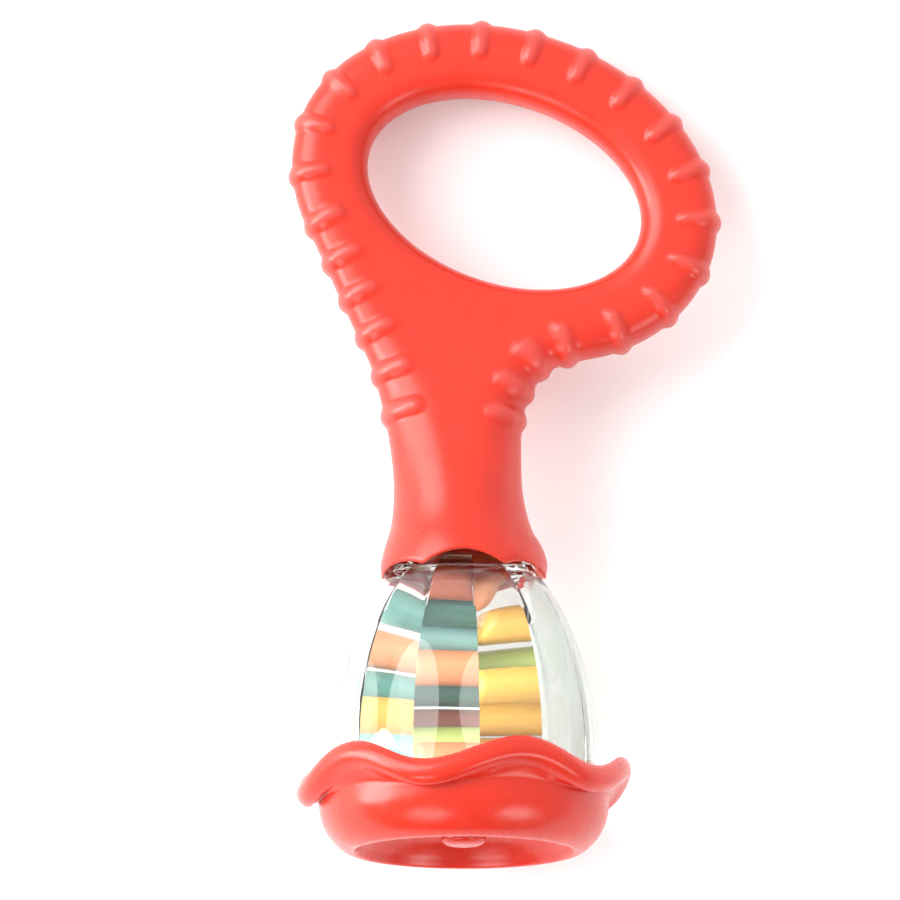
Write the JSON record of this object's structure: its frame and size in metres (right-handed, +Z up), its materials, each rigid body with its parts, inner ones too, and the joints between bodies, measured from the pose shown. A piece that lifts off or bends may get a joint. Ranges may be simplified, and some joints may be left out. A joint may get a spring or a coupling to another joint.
{
  "type": "baby rattle",
  "caption": "Hand rattle: a looped ribbed handle with a scalloped collar, a clear faceted chamber of loose beads and a bumper with a wavy lip.",
  "frame": {"origin": "centre of the bounding box's underside, on the surface that the toy lies on", "axes": "+Z up, out of the toy's front; +Y along the toy towards the loop; +X to the right, the side that the loop leans to"},
  "size_m": [0.0908, 0.1776, 0.0689],
  "materials": {
    "red_plastic": "satin",
    "clear_plastic": "clear gloss",
    "white_plastic": "satin",
    "orange_bead": "satin",
    "amber_bead": "satin",
    "lime_bead": "satin",
    "teal_bead": "satin",
    "blue_bead": "satin",
    "brick_bead": "satin"
  },
  "bodies": {
    "toy": {"base_bumper": "red_plastic", "chamber_floor": "white_plastic", "clear_dome": "clear_plastic", "handle_front_shell": "red_plastic", "handle_rear_shell": "red_plastic", "retaining_plug": "red_plastic"},
    "bead_01a": {"bead_01a_amber": "amber_bead"},
    "bead_01b": {"bead_01b_brick": "brick_bead"},
    "bead_01c": {"bead_01c_lime": "lime_bead"},
    "bead_01d": {"bead_01d_orange": "orange_bead"},
    "bead_02a": {"bead_02a_teal": "teal_bead"},
    "bead_02b": {"bead_02b_blue": "blue_bead"},
    "bead_02c": {"bead_02c_teal": "teal_bead"},
    "bead_02d": {"bead_02d_orange": "orange_bead"},
    "bead_02e": {"bead_02e_brick": "brick_bead"},
    "bead_03a": {"bead_03a_blue": "blue_bead"},
    "bead_03b": {"bead_03b_teal": "teal_bead"},
    "bead_03c": {"bead_03c_amber": "amber_bead"},
    "bead_04a": {"bead_04a_orange": "orange_bead"},
    "bead_04b": {"bead_04b_teal": "teal_bead"},
    "bead_05a": {"bead_05a_lime": "lime_bead"},
    "bead_05b": {"bead_05b_teal": "teal_bead"},
    "bead_05c": {"bead_05c_blue": "blue_bead"},
    "bead_06a": {"bead_06a_lime": "lime_bead"},
    "bead_06b": {"bead_06b_blue": "blue_bead"},
    "bead_06c": {"bead_06c_orange": "orange_bead"},
    "bead_07a": {"bead_07a_orange": "orange_bead"},
    "bead_07b": {"bead_07b_teal": "teal_bead"},
    "bead_07c": {"bead_07c_lime": "lime_bead"},
    "bead_08a": {"bead_08a_orange": "orange_bead"},
    "bead_09a": {"bead_09a_amber": "amber_bead"},
    "bead_10a": {"bead_10a_amber": "amber_bead"},
    "bead_10b": {"bead_10b_lime": "lime_bead"},
    "bead_10c": {"bead_10c_amber": "amber_bead"},
    "bead_11a": {"bead_11a_amber": "amber_bead"}
  },
  "joints": [
    {"name": "bead_01a_hop", "type": "slide", "parent": "toy", "child": "bead_01a", "axis": [0, 0.1727, 0.985], "range_m": [0, 0.0269]},
    {"name": "bead_01b_hop", "type": "slide", "parent": "toy", "child": "bead_01b", "axis": [0, 0.1727, 0.985], "range_m": [0, 0.0269]},
    {"name": "bead_01c_hop", "type": "slide", "parent": "toy", "child": "bead_01c", "axis": [0, 0.1727, 0.985], "range_m": [0, 0.0269]},
    {"name": "bead_01d_hop", "type": "slide", "parent": "toy", "child": "bead_01d", "axis": [0, 0.1727, 0.985], "range_m": [0, 0.0269]},
    {"name": "bead_02a_hop", "type": "slide", "parent": "toy", "child": "bead_02a", "axis": [0, 0.1727, 0.985], "range_m": [0, 0.0061]},
    {"name": "bead_02b_hop", "type": "slide", "parent": "toy", "child": "bead_02b", "axis": [0, 0.1727, 0.985], "range_m": [0, 0.0061]},
    {"name": "bead_02c_hop", "type": "slide", "parent": "toy", "child": "bead_02c", "axis": [0, 0.1727, 0.985], "range_m": [0, 0.0061]},
    {"name": "bead_02d_hop", "type": "slide", "parent": "toy", "child": "bead_02d", "axis": [0, 0.1727, 0.985], "range_m": [0, 0.0061]},
    {"name": "bead_02e_hop", "type": "slide", "parent": "toy", "child": "bead_02e", "axis": [0, 0.1727, 0.985], "range_m": [0, 0.0061]},
    {"name": "bead_03a_hop", "type": "slide", "parent": "toy", "child": "bead_03a", "axis": [0, 0.1727, 0.985], "range_m": [0, 0.012]},
    {"name": "bead_03b_hop", "type": "slide", "parent": "toy", "child": "bead_03b", "axis": [0, 0.1727, 0.985], "range_m": [0, 0.012]},
    {"name": "bead_03c_hop", "type": "slide", "parent": "toy", "child": "bead_03c", "axis": [0, 0.1727, 0.985], "range_m": [0, 0.012]},
    {"name": "bead_04a_hop", "type": "slide", "parent": "toy", "child": "bead_04a", "axis": [0, 0.1727, 0.985], "range_m": [0, 0.0053]},
    {"name": "bead_04b_hop", "type": "slide", "parent": "toy", "child": "bead_04b", "axis": [0, 0.1727, 0.985], "range_m": [0, 0.0053]},
    {"name": "bead_05a_hop", "type": "slide", "parent": "toy", "child": "bead_05a", "axis": [0, 0.1727, 0.985], "range_m": [0, 0.0241]},
    {"name": "bead_05b_hop", "type": "slide", "parent": "toy", "child": "bead_05b", "axis": [0, 0.1727, 0.985], "range_m": [0, 0.0241]},
    {"name": "bead_05c_hop", "type": "slide", "parent": "toy", "child": "bead_05c", "axis": [0, 0.1727, 0.985], "range_m": [0, 0.0241]},
    {"name": "bead_06a_hop", "type": "slide", "parent": "toy", "child": "bead_06a", "axis": [0, 0.1727, 0.985], "range_m": [0, 0.0332]},
    {"name": "bead_06b_hop", "type": "slide", "parent": "toy", "child": "bead_06b", "axis": [0, 0.1727, 0.985], "range_m": [0, 0.0332]},
    {"name": "bead_06c_hop", "type": "slide", "parent": "toy", "child": "bead_06c", "axis": [0, 0.1727, 0.985], "range_m": [0, 0.0332]},
    {"name": "bead_07a_hop", "type": "slide", "parent": "toy", "child": "bead_07a", "axis": [0, 0.1727, 0.985], "range_m": [0, 0.0227]},
    {"name": "bead_07b_hop", "type": "slide", "parent": "toy", "child": "bead_07b", "axis": [0, 0.1727, 0.985], "range_m": [0, 0.0227]},
    {"name": "bead_07c_hop", "type": "slide", "parent": "toy", "child": "bead_07c", "axis": [0, 0.1727, 0.985], "range_m": [0, 0.0227]},
    {"name": "bead_08a_hop", "type": "slide", "parent": "toy", "child": "bead_08a", "axis": [0, 0.1727, 0.985], "range_m": [0, 0.0114]},
    {"name": "bead_09a_hop", "type": "slide", "parent": "toy", "child": "bead_09a", "axis": [0, 0.1727, 0.985], "range_m": [0, 0.0342]},
    {"name": "bead_10a_hop", "type": "slide", "parent": "toy", "child": "bead_10a", "axis": [0, 0.1727, 0.985], "range_m": [0, 0.0212]},
    {"name": "bead_10b_hop", "type": "slide", "parent": "toy", "child": "bead_10b", "axis": [0, 0.1727, 0.985], "range_m": [0, 0.0212]},
    {"name": "bead_10c_hop", "type": "slide", "parent": "toy", "child": "bead_10c", "axis": [0, 0.1727, 0.985], "range_m": [0, 0.0212]},
    {"name": "bead_11a_hop", "type": "slide", "parent": "toy", "child": "bead_11a", "axis": [0, 0.1727, 0.985], "range_m": [0, 0.0146]}
  ],
  "couplings": [
    {"joint": "bead_01b_hop", "follows": "bead_01a_hop", "ratio": 1},
    {"joint": "bead_01c_hop", "follows": "bead_01a_hop", "ratio": 1},
    {"joint": "bead_01d_hop", "follows": "bead_01a_hop", "ratio": 1},
    {"joint": "bead_02b_hop", "follows": "bead_02a_hop", "ratio": 1},
    {"joint": "bead_02c_hop", "follows": "bead_02a_hop", "ratio": 1},
    {"joint": "bead_02d_hop", "follows": "bead_02a_hop", "ratio": 1},
    {"joint": "bead_02e_hop", "follows": "bead_02a_hop", "ratio": 1},
    {"joint": "bead_03b_hop", "follows": "bead_03a_hop", "ratio": 1},
    {"joint": "bead_03c_hop", "follows": "bead_03a_hop", "ratio": 1},
    {"joint": "bead_04b_hop", "follows": "bead_04a_hop", "ratio": 1},
    {"joint": "bead_05b_hop", "follows": "bead_05a_hop", "ratio": 1},
    {"joint": "bead_05c_hop", "follows": "bead_05a_hop", "ratio": 1},
    {"joint": "bead_06b_hop", "follows": "bead_06a_hop", "ratio": 1},
    {"joint": "bead_06c_hop", "follows": "bead_06a_hop", "ratio": 1},
    {"joint": "bead_07b_hop", "follows": "bead_07a_hop", "ratio": 1},
    {"joint": "bead_07c_hop", "follows": "bead_07a_hop", "ratio": 1},
    {"joint": "bead_10b_hop", "follows": "bead_10a_hop", "ratio": 1},
    {"joint": "bead_10c_hop", "follows": "bead_10a_hop", "ratio": 1}
  ]
}
